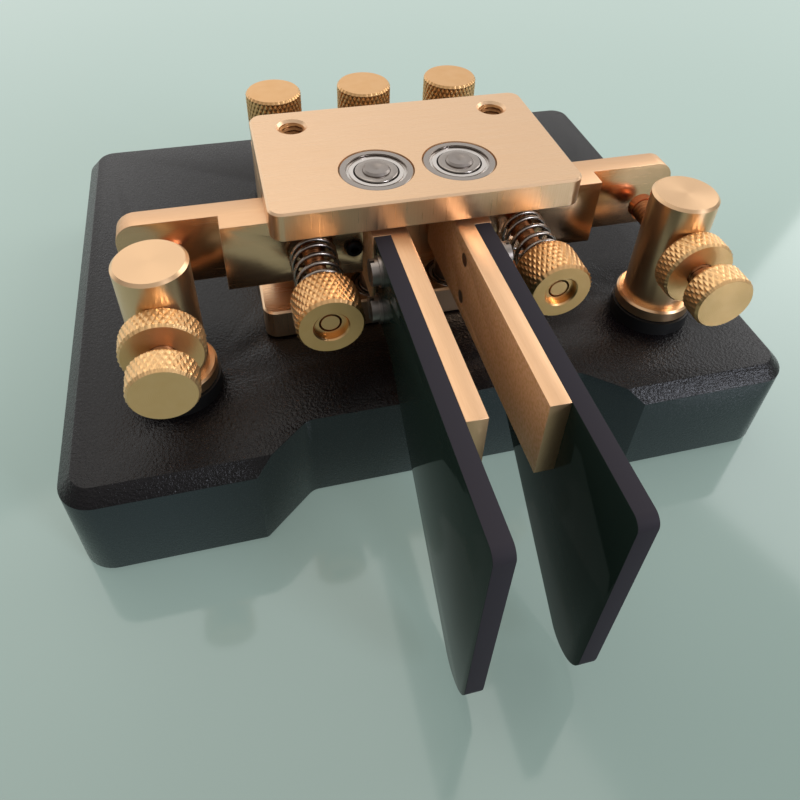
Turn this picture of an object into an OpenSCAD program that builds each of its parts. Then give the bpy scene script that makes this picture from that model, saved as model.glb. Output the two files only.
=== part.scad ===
// Twin-lever paddle telegraph key, in millimetres.
// The origin is on the table at the centre of the footprint, +Y points to the back and +Z up.
// The operator sits at -Y and squeezes the two finger pieces towards each other.
// Each lever is an L: its finger bar runs forward and its contact arm runs outward.

/* [Base] */
// Width of the base block
base_w = 109; // [100:1:125]
// Depth of the base block
base_d = 89; // [85:1:105]
// Thickness of the base block
base_h = 17; // [15:0.2:22]
// Radius of the base's upright corners
base_corner_r = 5; // [3:0.5:7]
// Chamfer round the base's top edge
base_chamfer = 2; // [0.5:0.5:2.5]
// Width of the finger notch at the front edge
notch_w = 57.6; // [52:0.4:62]
// Depth of the finger notch
notch_d = 6.7; // [4:0.1:8]
// How far each slanted end of the notch runs inward
notch_slant = 7.9; // [4:0.1:10]
// Fillet in the notch's inner corners
notch_fillet_r = 2.5; // [1:0.5:4]
// Radius of a rubber foot
foot_r = 5.5; // [4:0.5:6]
// How far the feet stand out below the base
foot_proud = 0.8; // [0.5:0.1:2]
// Depth of a foot's recess in the base
foot_recess = 1.4; // [1:0.1:2]
// Distance from a foot's centre to the base's edges
foot_inset = 8.5; // [7.5:0.5:9.5]
// Depth of the counterbores and wire channels under the base
channel_depth = 5.2; // [5:0.1:6.5]
// Width of a wire channel
channel_w = 4; // [3:0.5:6]

/* [Bearing frame] */
// Distance from the base's front edge to the top plate's front edge
frame_setback = 19.8; // [18:0.2:24]
// Width of the top plate and of the rear block
plate_w = 45; // [43:0.5:50]
// Depth of the top plate
plate_d = 28; // [27:0.5:32]
// Thickness of the top plate
plate_t = 4.6; // [4.4:0.1:6]
// Radius of the plates' upright corners
plate_corner_r = 2; // [0.8:0.2:3]
// Broken edge round the plates
plate_edge = 0.3; // [0.1:0.1:0.6]
// Width of the bottom plate
foot_plate_w = 49; // [47:0.5:54]
// Thickness of the bottom plate
foot_plate_t = 5.3; // [5:0.1:7]
// How far the bottom plate's front stands behind the top plate's front
foot_plate_setback = 4.2; // [3:0.1:4.4]
// Height of the rear block between the plates
block_h = 16.2; // [15.6:0.2:20]
// Gap between the levers' back and the rear block
stop_gap = 1.2; // [0.8:0.1:2]
// Distance between the two frame screws
frame_screw_span = 32.6; // [30:0.2:36]
// Distance from the frame screws to the plate's back edge
frame_screw_inset = 4.9; // [4:0.1:6]
// Radius of a frame screw's thread
frame_screw_r = 2; // [1.5:0.1:2.2]
// How far a frame screw ends below the top face
frame_screw_depth = 2.4; // [1:0.2:3]

/* [Pivots] */
// Distance between the two pivot axes
pivot_span = 12.4; // [12.2:0.1:13.5]
// Distance from the top plate's front edge to the pivot axes
pivot_setback = 8.5; // [8.3:0.1:9.2]
// Radius of a pivot pin
pin_r = 2; // [1.8:0.1:2.1]
// How far the pivot pin's end stands above the upper bearing
pin_proud = 0.4; // [0:0.1:1]
// Outer radius of an upper ball bearing
upper_bearing_r = 5.5; // [5.2:0.1:5.6]
// Width of an upper ball bearing
upper_bearing_w = 4; // [3.4:0.1:4]
// Outer radius of a lower ball bearing
lower_bearing_r = 4; // [3.9:0.1:4.1]
// Width of a lower ball bearing
lower_bearing_w = 3; // [2.6:0.1:3.4]
// Number of balls in a bearing
ball_count = 7; // [6:1:8]
// Play between a ball and its races
ball_play = 0.05; // [0.03:0.01:0.06]

/* [Levers] */
// Height of the finger bar
lever_h = 12.2; // [11.6:0.1:12.8]
// Gap between a lever and the top plate
lever_gap = 0.7; // [0.4:0.1:1]
// How much shallower the contact arm is than the finger bar, from below
arm_relief = 1; // [0:0.1:2]
// Distance from the pivot axis to the arm's back face
arm_back = 4.2; // [3.4:0.1:4.8]
// Thickness of the arm near the pivot
arm_t = 6.6; // [6.2:0.1:8]
// Thickness of the arm at its contact end
arm_end_t = 3.4; // [2.6:0.1:4.5]
// Distance from the centre line to the step in the arm
arm_step_x = 29.1; // [26:0.1:31]
// Distance from the centre line to the arm's outer end
arm_end_x = 43.5; // [42:0.1:46]
// Rounding of the arm's outer end, seen from the front
arm_end_r = 3; // [1:0.2:4]
// Clear space between the two finger bars
bar_gap = 7; // [6.6:0.1:7.4]
// Thickness of a finger bar
bar_t = 2.6; // [2.2:0.1:3]
// Width of the lever's root, where the bar joins the arm
root_w = 5.2; // [5.1:0.1:5.3]
// How far the root ends in front of the top plate's front edge
root_proud = 0.2; // [0:0.1:1]
// How far the bar ends in front of the top plate's front edge
bar_reach = 34; // [28:0.5:38]

/* [Finger pieces] */
// How far the finger pieces end in front of the top plate's front edge
finger_reach = 49.5; // [45:0.5:56]
// Thickness of a finger piece
finger_t = 2.4; // [1.6:0.1:2.6]
// How far the finger piece's lower front corner hangs below the bar
finger_drop = 22.8; // [16:0.2:23.2]
// Distance over which the lower edge stays level before it falls away
finger_level = 10; // [8:0.5:14]
// Rounding of the finger piece's upper front corner
finger_upper_r = 1.5; // [0.5:0.1:3]
// Rounding of its lower front corner
finger_lower_r = 4.4; // [2:0.2:6]
// Distance from the root to the finger piece's screws
finger_screw_y = 4.3; // [3:0.1:6]
// Distance between the finger piece's two screws
finger_screw_span = 6.8; // [5.5:0.1:7.2]
// Radius of a finger piece screw
finger_screw_r = 1; // [0.8:0.1:1.2]

/* [Contact posts] */
// Distance from the centre line to a contact post
post_x = 38; // [37.2:0.1:39]
// Distance from the post's axis back to the arm's contact face
post_to_arm = 11.6; // [10.8:0.1:12.6]
// Radius of a contact post
post_r = 4.9; // [4.2:0.1:5.2]
// Radius of the post's foot
post_foot_r = 5.9; // [5.5:0.1:6.3]
// Thickness of the post's foot
post_foot_t = 2.2; // [1.4:0.1:3]
// Radius of the insulating bush under the post's foot
post_bush_r = 6.2; // [6:0.1:6.9]
// Thickness of the insulating bush under the post's foot
post_bush_t = 2.4; // [1.6:0.1:3]
// Height of the post above its foot
post_h = 18.6; // [17:0.2:21]
// Depth of the screw axis below the levers' top
screw_drop = 6.4; // [6:0.1:7]
// Gap between a contact and its arm at rest
contact_gap = 0.6; // [0.3:0.1:1]
// Radius of a contact screw's thread
contact_screw_r = 1.95; // [1.6:0.05:2.1]
// Radius of a contact screw's knurled head
contact_head_r = 4.5; // [3.8:0.1:5]
// Length of a contact screw's knurled head
contact_head_t = 3.9; // [3:0.1:5]
// Gap between a contact screw's head and its lock nut
head_to_nut = 2.7; // [2.2:0.1:4]
// Radius of the contact's rounded tip
tip_r = 2.1; // [1.6:0.1:2.3]
// Length of the contact's rounded tip
tip_t = 2.4; // [2:0.1:2.8]
// Radius of a lock nut
lock_nut_r = 5.5; // [4.8:0.1:5.6]
// Thickness of a lock nut
lock_nut_t = 3.6; // [3:0.1:4.2]

/* [Tension springs] */
// Distance from the centre line to a tension stud
stud_x = 16.4; // [15.6:0.1:17.4]
// Radius of a tension stud
stud_r = 1.5; // [1.2:0.1:1.6]
// Radius of a tension nut
tension_nut_r = 4.75; // [4:0.05:5]
// Length of a tension nut
tension_nut_t = 6.4; // [5:0.1:7]
// Radius of the counterbore in a tension nut's front
tension_bore_r = 2.25; // [2:0.05:2.6]
// Depth of the counterbore in a tension nut's front
tension_bore_t = 1.8; // [1:0.1:2.4]
// How far the stud ends behind the nut's front
stud_recess = 0.9; // [0.3:0.1:1.6]
// Length of a spring as fitted
spring_len = 9.8; // [9:0.1:11]
// Radius of a spring, at the middle of its wire
spring_r = 3.25; // [2.8:0.05:3.5]
// Thickness of the spring wire
spring_wire = 0.64; // [0.5:0.02:0.7]
// Rise of a spring's closely wound first and last curls
spring_end_pitch = 1.15; // [1.1:0.01:1.2]
// Number of open curls between the closely wound ones
spring_open_curls = 3; // [2:1:3]

/* [Stop screws] */
// Distance from the centre line to a stop screw
stop_x = 10.1; // [10.1:0.1:10.8]
// Radius of a stop screw
stop_screw_r = 1.25; // [0.9:0.05:1.3]
// How far a stop screw stands out of the arm's front
stop_proud = 0.7; // [0:0.1:1.5]

/* [Binding posts] */
// Distance between neighbouring binding posts
binding_span = 16.8; // [15.5:0.1:18]
// Distance from the binding posts to the base's back edge
binding_inset = 22.6; // [18:0.2:24]
// Radius of a binding post's body
binding_r = 4.8; // [4.2:0.1:5.2]
// Height of a binding post's body
binding_h = 11.6; // [10:0.2:14]
// Thickness of the insulating bush under a binding post
binding_bush_t = 1.2; // [0.8:0.1:2]
// Radius of a knurled cap
cap_r = 5; // [4.4:0.1:5.4]
// Height of a knurled cap
cap_h = 8; // [6:0.2:10]
// Radius of the wire hole through a binding post
wire_hole_r = 1.1; // [0.8:0.1:1.4]

/* [Hidden] */
$fn = 64;

brass = "#C9A15C";
worked_brass = "#D3A96B";
steel = "#A9A8A6";
black_coat = "#26272B";
black_plastic = "#1B1C1E";
rubber = "#2A2A2A";

// play of a running thread or pin, and clearance of a plain hole
run_play = 0.05;
hole_play = 0.2;
// how far a cutting solid runs past the faces it opens
over = 1;

// heights
base_bottom_z = foot_proud;
base_top_z = foot_proud + base_h;
block_bottom_z = base_top_z + foot_plate_t;
block_top_z = block_bottom_z + block_h;
plate_top_z = block_top_z + plate_t;
lever_top_z = block_top_z - lever_gap;
lever_bottom_z = lever_top_z - lever_h;
arm_bottom_z = lever_bottom_z + arm_relief;
axis_z = lever_top_z - screw_drop;
channel_z = base_bottom_z + channel_depth;

// places along Y, with the footprint's middle at zero
overhang = finger_reach - frame_setback;
front_y = overhang - (base_d + overhang) / 2;
back_y = front_y + base_d;
plate_y = front_y + frame_setback;
plate_back_y = plate_y + plate_d;
pivot_y = plate_y + pivot_setback;
pivot_x = pivot_span / 2;
arm_back_y = pivot_y + arm_back;
arm_front_y = arm_back_y - arm_t;
arm_contact_y = arm_back_y - arm_end_t;
block_y = arm_back_y + stop_gap;
root_y = plate_y - root_proud;
bar_end_y = plate_y - bar_reach;
finger_end_y = plate_y - finger_reach;
frame_screw_y = plate_back_y - frame_screw_inset;
bar_in_x = bar_gap / 2;
bar_out_x = bar_in_x + bar_t;
root_out_x = bar_in_x + root_w;
post_y = arm_contact_y - post_to_arm;
binding_y = back_y - binding_inset;

// bearings: the rings and balls share out the wall between pin and seat
seat_sink = 0.1;
upper_bearing_z = plate_top_z - upper_bearing_w - seat_sink;
lower_bearing_z = block_bottom_z - lower_bearing_w - seat_sink;
function ball_ring_r(r) = pin_r + (r - pin_r) * 0.52;
function ball_r(r) = (r - pin_r) * 0.21;
function inner_ring_r(r) = ball_ring_r(r) - ball_r(r) * 0.93;
function outer_ring_in_r(r) = ball_ring_r(r) + ball_r(r) * 0.87;
shield_t = 0.3;
shield_sink = 0.25;

// chamfer that ends a turned or knurled piece
turned_edge = 0.4;

// screws and bushes
socket_head_h = 3.6;
pan_head_h = 2.4;
m3_r = 1.5;
m3_head_r = 2.75;
frame_head_r = frame_screw_r * 1.75;
bush_tube_r = 3;
bush_hole_r = m3_r + 0.1;
bush_base_t = 1;
bush_base_r = 4.2;
bore_under_r = 4.5;
lug_t = 0.4;
// how much deeper a wire channel is than the counterbores that it joins
channel_rise = 0.3;
lug_r = 3;
lug_tail = 6;
lug_tail_w = 2;
lead_r = 0.6;
foot_plate_screw_x = 19.5;
foot_plate_screw_y = pivot_y - 1.5;

tension_back_y = arm_front_y - spring_len;
tension_front_y = tension_back_y - tension_nut_t;
lock_back_y = post_y - post_r;
lock_front_y = lock_back_y - lock_nut_t;
head_back_y = lock_front_y - head_to_nut;
tip_front_y = arm_contact_y - contact_gap;
post_foot_z = base_top_z + post_bush_t;
binding_foot_z = base_top_z + binding_bush_t;
binding_top_z = binding_foot_z + binding_h;

function sides(side) = side == "left" ? -1 : 1;

// A round bar along Y, between two places
module bar_y(x, z, r, y0, y1) {
    translate([x, y0, z])
        rotate([-90, 0, 0])
            cylinder(h = y1 - y0, r = r);
}

// A round bar along Y with broken edges at both ends
module drum_y(x, z, r, y0, y1, edge) {
    length = y1 - y0;
    translate([x, y0, z])
        rotate([-90, 0, 0])
            rotate_extrude()
                polygon([[0, 0], [r - edge, 0], [r, edge], [r, length - edge],
                    [r - edge, length], [0, length]]);
}

// The same, standing on Z
module drum_z(x, y, r, z0, z1, edge) {
    height = z1 - z0;
    translate([x, y, z0])
        rotate_extrude()
            polygon([[0, 0], [r - edge, 0], [r, edge], [r, height - edge],
                [r - edge, height], [0, height]]);
}

module bar_z(x, y, r, z0, z1) {
    translate([x, y, z0])
        cylinder(h = z1 - z0, r = r);
}

// A plate with round upright corners and broken edges above and below
module slab(w, d, h, r, top_edge, bottom_edge) {
    for (sx = [-1, 1], sy = [-1, 1])
        translate([sx * (w / 2 - r), sy * (d / 2 - r), 0])
            rotate_extrude()
                polygon([[0, 0], [r - bottom_edge, 0], [r, bottom_edge], [r, h - top_edge],
                    [r - top_edge, h], [0, h]]);
    translate([-(w / 2 - r), 0, 0])
        rotate([90, 0, 90])
            linear_extrude(w - 2 * r)
                slab_section(d, h, top_edge, bottom_edge);
    translate([0, d / 2 - r, 0])
        rotate([90, 0, 0])
            linear_extrude(d - 2 * r)
                slab_section(w, h, top_edge, bottom_edge);
}

module slab_section(w, h, top_edge, bottom_edge) {
    polygon([[-w / 2 + bottom_edge, 0], [w / 2 - bottom_edge, 0], [w / 2, bottom_edge],
        [w / 2, h - top_edge], [w / 2 - top_edge, h], [-w / 2 + top_edge, h],
        [-w / 2, h - top_edge], [-w / 2, bottom_edge]]);
}

// The notch that gives the fingers room, with round inner corners
module notch() {
    slant_angle = atan2(notch_d, notch_slant);
    corner_x = notch_w / 2 - notch_slant;
    tangent = notch_fillet_r * tan(slant_angle / 2);
    past = over * notch_slant / notch_d;
    translate([0, front_y, base_bottom_z - over])
        linear_extrude(base_h + 2 * over) {
            polygon([[-notch_w / 2 - past, -over], [notch_w / 2 + past, -over],
                [corner_x + tangent * cos(slant_angle), notch_d - tangent * sin(slant_angle)],
                [corner_x - tangent, notch_d], [-corner_x + tangent, notch_d],
                [-corner_x - tangent * cos(slant_angle), notch_d - tangent * sin(slant_angle)]]);
            for (s = [-1, 1])
                translate([s * (corner_x - tangent), notch_d - notch_fillet_r])
                    circle(r = notch_fillet_r);
        }
}

foot_places = [for (sx = [-1, 1], sy = [-1, 1]) [sx * (base_w / 2 - foot_inset),
    (front_y + back_y) / 2 + sy * (base_d / 2 - foot_inset)]];
contact_places = [for (s = [-1, 1]) [s * post_x, post_y]];
binding_places = [for (i = [-1, 0, 1]) [i * binding_span, binding_y]];
frame_screw_places = [for (s = [-1, 1]) [s * frame_screw_span / 2, frame_screw_y]];
foot_plate_screw_places = [for (s = [-1, 1]) [s * foot_plate_screw_x, foot_plate_screw_y]];
// each lead joins the first place to the second
lead_runs = [[contact_places[0], binding_places[0]], [contact_places[1], binding_places[2]],
    [frame_screw_places[1], binding_places[1]]];

// Moves its children to a lead's first end and turns them so that the lead runs along X
module along_lead(run) {
    step = run[1] - run[0];
    translate([run[0][0], run[0][1], 0])
        rotate([0, 0, atan2(step[1], step[0])])
            children();
}

module base() {
    color(black_coat)
        difference() {
            translate([0, (front_y + back_y) / 2, base_bottom_z])
                slab(base_w, base_d, base_h, base_corner_r, base_chamfer, plate_edge);
            notch();
            for (p = foot_places)
                bar_z(p[0], p[1], foot_r + hole_play / 2, base_bottom_z - over, base_bottom_z + foot_recess);
            for (p = concat(contact_places, binding_places)) {
                bar_z(p[0], p[1], bore_under_r, base_bottom_z - over, channel_z);
                bar_z(p[0], p[1], bush_tube_r, channel_z - over, base_top_z + over);
            }
            for (p = frame_screw_places) {
                bar_z(p[0], p[1], bore_under_r, base_bottom_z - over, channel_z);
                bar_z(p[0], p[1], frame_screw_r + hole_play, channel_z - over, base_top_z + over);
            }
            for (p = foot_plate_screw_places) {
                bar_z(p[0], p[1], m3_head_r + hole_play, base_bottom_z - over, channel_z);
                bar_z(p[0], p[1], m3_r + hole_play, channel_z - over, base_top_z + over);
            }
            for (run = lead_runs)
                along_lead(run)
                    translate([0, -channel_w / 2, base_bottom_z - over])
                        cube([norm(run[1] - run[0]), channel_w, channel_depth + channel_rise + over]);
        }
}

module base_feet() {
    color(rubber)
        for (p = foot_places)
            drum_z(p[0], p[1], foot_r, 0, foot_proud + foot_recess, 0.3);
}

module bottom_plate() {
    depth = plate_d - foot_plate_setback;
    relief_r = inner_ring_r(lower_bearing_r) + 0.4;
    color(brass)
        difference() {
            translate([0, plate_y + foot_plate_setback + depth / 2, base_top_z])
                slab(foot_plate_w, depth, foot_plate_t, plate_corner_r, plate_edge, plate_edge);
            for (s = [-1, 1]) {
                bar_z(s * pivot_x, pivot_y, lower_bearing_r, lower_bearing_z, block_bottom_z + over);
                bar_z(s * pivot_x, pivot_y, relief_r, base_top_z - over, lower_bearing_z + over);
            }
            for (p = frame_screw_places)
                bar_z(p[0], p[1], frame_screw_r + hole_play, base_top_z - over, block_bottom_z + over);
            for (p = foot_plate_screw_places)
                bar_z(p[0], p[1], m3_r, base_top_z - over, block_bottom_z - 1);
        }
}

module rear_block() {
    color(brass)
        difference() {
            translate([-plate_w / 2, block_y, block_bottom_z])
                cube([plate_w, plate_back_y - block_y, block_h]);
            for (p = frame_screw_places)
                bar_z(p[0], p[1], frame_screw_r + hole_play, block_bottom_z - over, block_top_z + over);
            for (s = [-1, 1])
                bar_y(s * stud_x, axis_z, stud_r, block_y - over, block_y + stud_seat);
        }
}
stud_seat = 5;

module top_plate() {
    color(worked_brass)
        difference() {
            translate([0, plate_y + plate_d / 2, block_top_z])
                slab(plate_w, plate_d, plate_t, plate_corner_r, plate_edge, plate_edge);
            for (s = [-1, 1]) {
                bar_z(s * pivot_x, pivot_y, upper_bearing_r, upper_bearing_z, plate_top_z + over);
                bar_z(s * pivot_x, pivot_y, outer_ring_in_r(upper_bearing_r), block_top_z - over, plate_top_z);
            }
            for (p = frame_screw_places) {
                bar_z(p[0], p[1], frame_screw_r, block_top_z - over, plate_top_z + over);
                translate([p[0], p[1], plate_top_z - 0.4])
                    cylinder(h = 0.4 + over, r1 = frame_screw_r, r2 = frame_screw_r + 0.4 + over);
            }
        }
}

// A cap screw that points up, with a hexagon socket below
module cap_screw(p, r, head_r, head_top, end_z) {
    difference() {
        union() {
            bar_z(p[0], p[1], r, head_top - 0.5, end_z);
            drum_z(p[0], p[1], head_r, head_top - socket_head_h, head_top, 0.2);
        }
        translate([p[0], p[1], head_top - socket_head_h - over])
            cylinder(h = socket_head_h / 2 + over, r = r * 0.85, $fn = 6);
    }
}

module frame_screws() {
    color(steel)
        for (i = [0, 1])
            cap_screw(frame_screw_places[i], frame_screw_r, frame_head_r, channel_z - i * lug_t,
                plate_top_z - frame_screw_depth);
}

module bottom_plate_screws() {
    color(steel)
        for (p = foot_plate_screw_places)
            cap_screw(p, m3_r, m3_head_r, channel_z, block_bottom_z - 1.5);
}

// each bearing's place, outer radius and width
bearings = [for (s = [-1, 1]) each [
    [[s * pivot_x, pivot_y, lower_bearing_z], lower_bearing_r, lower_bearing_w],
    [[s * pivot_x, pivot_y, upper_bearing_z], upper_bearing_r, upper_bearing_w]]];

module ball_groove(r, w) {
    rotate_extrude()
        translate([ball_ring_r(r), w / 2])
            circle(r = ball_r(r) + ball_play);
}

module bearing_outer_rings() {
    color(steel)
        for (b = bearings)
            translate(b[0])
                difference() {
                    drum_z(0, 0, b[1], 0, b[2], 0.25);
                    bar_z(0, 0, outer_ring_in_r(b[1]), -over, b[2] + over);
                    ball_groove(b[1], b[2]);
                }
}

module bearing_shields() {
    color(steel)
        for (b = bearings, z = [shield_sink, b[2] - shield_sink - shield_t])
            translate([b[0][0], b[0][1], b[0][2] + z])
                difference() {
                    cylinder(h = shield_t, r = outer_ring_in_r(b[1]));
                    translate([0, 0, -over])
                        cylinder(h = shield_t + 2 * over, r = inner_ring_r(b[1]) + 0.1);
                }
}

module bearing_balls() {
    color(steel)
        for (b = bearings, i = [0 : ball_count - 1])
            translate([b[0][0], b[0][1], b[0][2] + b[2] / 2])
                rotate([0, 0, i * 360 / ball_count])
                    translate([ball_ring_r(b[1]), 0, 0])
                        sphere(r = ball_r(b[1]), $fn = 24);
}

module inner_rings(side) {
    color(steel)
        for (b = bearings)
            if (sign(b[0][0]) == sides(side))
                translate(b[0])
                    difference() {
                        drum_z(0, 0, inner_ring_r(b[1]), 0, b[2], 0.12);
                        bar_z(0, 0, pin_r, -over, b[2] + over);
                        ball_groove(b[1], b[2]);
                    }
}

module pivot_pin(side) {
    color(steel)
        drum_z(sides(side) * pivot_x, pivot_y, pin_r, lower_bearing_z + 0.1,
            upper_bearing_z + upper_bearing_w + pin_proud, 0.3);
}

// A spacer reaches from the lever to the inner ring of each bearing
module spacers(side) {
    color(steel)
        for (span = [[lower_bearing_z + lower_bearing_w, lever_bottom_z, inner_ring_r(lower_bearing_r)],
            [lever_top_z, upper_bearing_z, inner_ring_r(upper_bearing_r)]])
            translate([sides(side) * pivot_x, pivot_y, span[0]])
                difference() {
                    cylinder(h = span[1] - span[0], r = span[2] - 0.1);
                    translate([0, 0, -over])
                        cylinder(h = span[1] - span[0] + 2 * over, r = pin_r);
                }
}

// What is cut from a square corner to round it, along Y; the corner points to +X and +Z
module corner_cutter(r, length) {
    difference() {
        cube([r + over, length, r + over]);
        translate([0, -over, 0])
            rotate([-90, 0, 0])
                cylinder(h = length + 2 * over, r = r);
    }
}

// The right-hand lever; the left one is its mirror image
module right_lever_body() {
    difference() {
        union() {
            translate([bar_in_x, arm_front_y, arm_bottom_z])
                cube([arm_step_x - bar_in_x, arm_t, lever_top_z - arm_bottom_z]);
            translate([bar_in_x, arm_contact_y, arm_bottom_z])
                cube([arm_end_x - bar_in_x, arm_end_t, lever_top_z - arm_bottom_z]);
            translate([bar_in_x, root_y, lever_bottom_z])
                cube([root_w, arm_back_y - root_y, lever_h]);
            translate([bar_in_x, bar_end_y, lever_bottom_z])
                cube([bar_t, arm_back_y - bar_end_y, lever_h]);
        }
        translate([arm_end_x - arm_end_r, arm_contact_y - over, lever_top_z - arm_end_r])
            corner_cutter(arm_end_r, arm_end_t + 2 * over);
        translate([arm_end_x - arm_end_r, arm_contact_y - over, arm_bottom_z + arm_end_r])
            mirror([0, 0, 1])
                corner_cutter(arm_end_r, arm_end_t + 2 * over);
        bar_z(pivot_x, pivot_y, pin_r, lever_bottom_z - over, lever_top_z + over);
        bar_y(stud_x, axis_z, stud_r + stud_hole_play, arm_front_y - over, arm_back_y + over);
        bar_y(stop_x, axis_z, stop_screw_r + run_play, arm_front_y - over, arm_back_y + over);
        for (z = finger_screw_z)
            translate([bar_in_x - over, root_y - finger_screw_y, z])
                rotate([0, 90, 0])
                    cylinder(h = bar_t + 2 * over, r = finger_screw_r);
    }
}
stud_hole_play = 0.5;
finger_screw_z = [for (s = [-1, 1]) (lever_top_z + lever_bottom_z) / 2 + s * finger_screw_span / 2];

module lever(side) {
    color(brass)
        if (side == "left")
            mirror([1, 0, 0])
                right_lever_body();
        else
            right_lever_body();
}

// Outline of a finger piece in the YZ plane: level at the root, then falling to a deep round front
module finger_outline() {
    low_z = lever_bottom_z - finger_drop;
    fall_y = root_y - finger_level;
    lower_c = [finger_end_y + finger_lower_r, low_z + finger_lower_r];
    upper_c = [finger_end_y + finger_upper_r, lever_top_z - finger_upper_r];
    // the falling edge leaves the start of the fall as a tangent to the lower corner
    corner_way = [fall_y - lower_c[0], lever_bottom_z - lower_c[1]];
    fall = atan2(corner_way[1], corner_way[0]) + asin(finger_lower_r / norm(corner_way));
    difference() {
        union() {
            polygon([[root_y, lever_top_z], [upper_c[0], lever_top_z], [upper_c[0], upper_c[1]],
                [finger_end_y, upper_c[1]], [finger_end_y, lower_c[1]], lower_c,
                lower_c + finger_lower_r * [sin(fall), -cos(fall)],
                [fall_y, lever_bottom_z], [root_y, lever_bottom_z]]);
            translate(upper_c)
                circle(r = finger_upper_r);
            translate(lower_c)
                circle(r = finger_lower_r);
        }
        for (z = finger_screw_z)
            translate([root_y - finger_screw_y, z])
                circle(r = finger_screw_r);
    }
}

module fingerpiece(side) {
    x = side == "left" ? -bar_out_x - finger_t : bar_out_x;
    color(black_plastic)
        translate([x, 0, 0])
            rotate([90, 0, 90])
                linear_extrude(finger_t)
                    finger_outline();
}

finger_head_r = finger_screw_r * 1.9;
finger_head_h = 1.1;

// A slotted cheese-head screw on a washer; its tip ends flush with the bar's inner face
module finger_screw(z) {
    head_x = bar_out_x + finger_t + 0.4;
    translate([0, root_y - finger_screw_y, z])
        rotate([0, 90, 0]) {
            translate([0, 0, bar_in_x])
                cylinder(h = head_x - bar_in_x + 0.2, r = finger_screw_r);
            translate([0, 0, bar_out_x + finger_t])
                cylinder(h = 0.4, r = finger_head_r + 0.3);
            translate([0, 0, head_x])
                difference() {
                    cylinder(h = finger_head_h, r = finger_head_r);
                    translate([-finger_head_r - over, -0.25, finger_head_h - 0.6])
                        cube([2 * finger_head_r + 2 * over, 0.5, 1]);
                }
        }
}

module fingerpiece_screws(side) {
    color(steel)
        for (z = finger_screw_z)
            if (side == "left")
                mirror([1, 0, 0])
                    finger_screw(z);
            else
                finger_screw(z);
}

module stop_screw(side) {
    x = sides(side) * stop_x;
    color(black_plastic)
        difference() {
            drum_y(x, axis_z, stop_screw_r, arm_front_y - stop_proud, block_y, 0.2);
            translate([x, arm_front_y - stop_proud - over, axis_z])
                rotate([-90, 0, 0])
                    cylinder(h = over + 1.2, r = stop_screw_r * 0.55, $fn = 6);
        }
}

module tension_stud(side) {
    color(brass)
        drum_y(sides(side) * stud_x, axis_z, stud_r, tension_front_y + stud_recess,
            block_y + stud_seat, 0.25);
}

module tension_nut(side) {
    x = sides(side) * stud_x;
    color(brass)
        difference() {
            drum_y(x, axis_z, tension_nut_r, tension_front_y, tension_back_y, turned_edge);
            bar_y(x, axis_z, stud_r + run_play, tension_front_y - over, tension_back_y + over);
            bar_y(x, axis_z, tension_bore_r, tension_front_y - over, tension_front_y + tension_bore_t);
        }
}

// The spring wire's middle line: a straight end square to the arm, a closely wound curl,
// the open curls, a closely wound curl, and a straight end square to the nut.
spring_rings = 8;
spring_sides = 6;
spring_curls = spring_open_curls + 2;
open_rise = spring_len - 2 * spring_wire - 2 * spring_end_pitch;
open_pitch = open_rise / spring_open_curls;

// rise along the axis after a number of curls
function spring_rise(curl) =
    curl <= 1 ? curl * spring_end_pitch :
    curl <= spring_curls - 1 ? spring_end_pitch + (curl - 1) * open_pitch :
    spring_end_pitch + open_rise + (curl - spring_curls + 1) * spring_end_pitch;
function spring_point(curl) = [spring_r * cos(360 * curl),
    -spring_wire - spring_rise(curl), spring_r * sin(360 * curl)];
spring_path = concat(
    [[spring_r, 0, 0]],
    [for (i = [0 : spring_curls * spring_rings]) spring_point(i / spring_rings)],
    [[spring_r, -spring_len, 0]]);

function unit(v) = v / norm(v);
function path_way(path, i) =
    i == 0 ? unit(path[1] - path[0]) :
    i == len(path) - 1 ? unit(path[i] - path[i - 1]) :
    unit(unit(path[i] - path[i - 1]) + unit(path[i + 1] - path[i]));
// a ring of points round the path, set out from the spring's own axis
function path_ring(path, i) =
    let (way = path_way(path, i),
        out = unit([path[i][0], 0, path[i][2]]),
        side = unit(cross(way, out)),
        flat = cross(side, way))
    [for (k = [0 : spring_sides - 1])
        path[i] + spring_wire / 2 * (cos(360 * k / spring_sides) * flat + sin(360 * k / spring_sides) * side)];

module spring_coil() {
    rings = len(spring_path);
    n = spring_sides;
    points = [for (i = [0 : rings - 1]) each path_ring(spring_path, i)];
    walls = [for (i = [0 : rings - 2], k = [0 : n - 1])
        each [[i * n + k, i * n + (k + 1) % n, (i + 1) * n + k],
            [i * n + (k + 1) % n, (i + 1) * n + (k + 1) % n, (i + 1) * n + k]]];
    start_cap = [for (k = [1 : n - 2]) [0, k + 1, k]];
    end_cap = [for (k = [1 : n - 2]) [(rings - 1) * n, (rings - 1) * n + k, (rings - 1) * n + k + 1]];
    polyhedron(points = points, faces = concat(walls, start_cap, end_cap), convexity = 10);
}

// least gap between two parts of the wire that lie half a curl or more apart
spring_gap = min([for (i = [0 : len(spring_path) - 1], j = [i + spring_rings / 2 : len(spring_path) - 1])
    if (j < len(spring_path)) norm(spring_path[i] - spring_path[j]) - spring_wire]);
echo(spring_least_gap = spring_gap);

module tension_spring(side) {
    color(steel)
        translate([sides(side) * stud_x, arm_front_y, axis_z])
            spring_coil();
}

// tapped holes in the feet of the posts, a little deeper than their screws reach
post_tap = 5;
binding_tap = 4;
tap_spare = 0.5;

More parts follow.
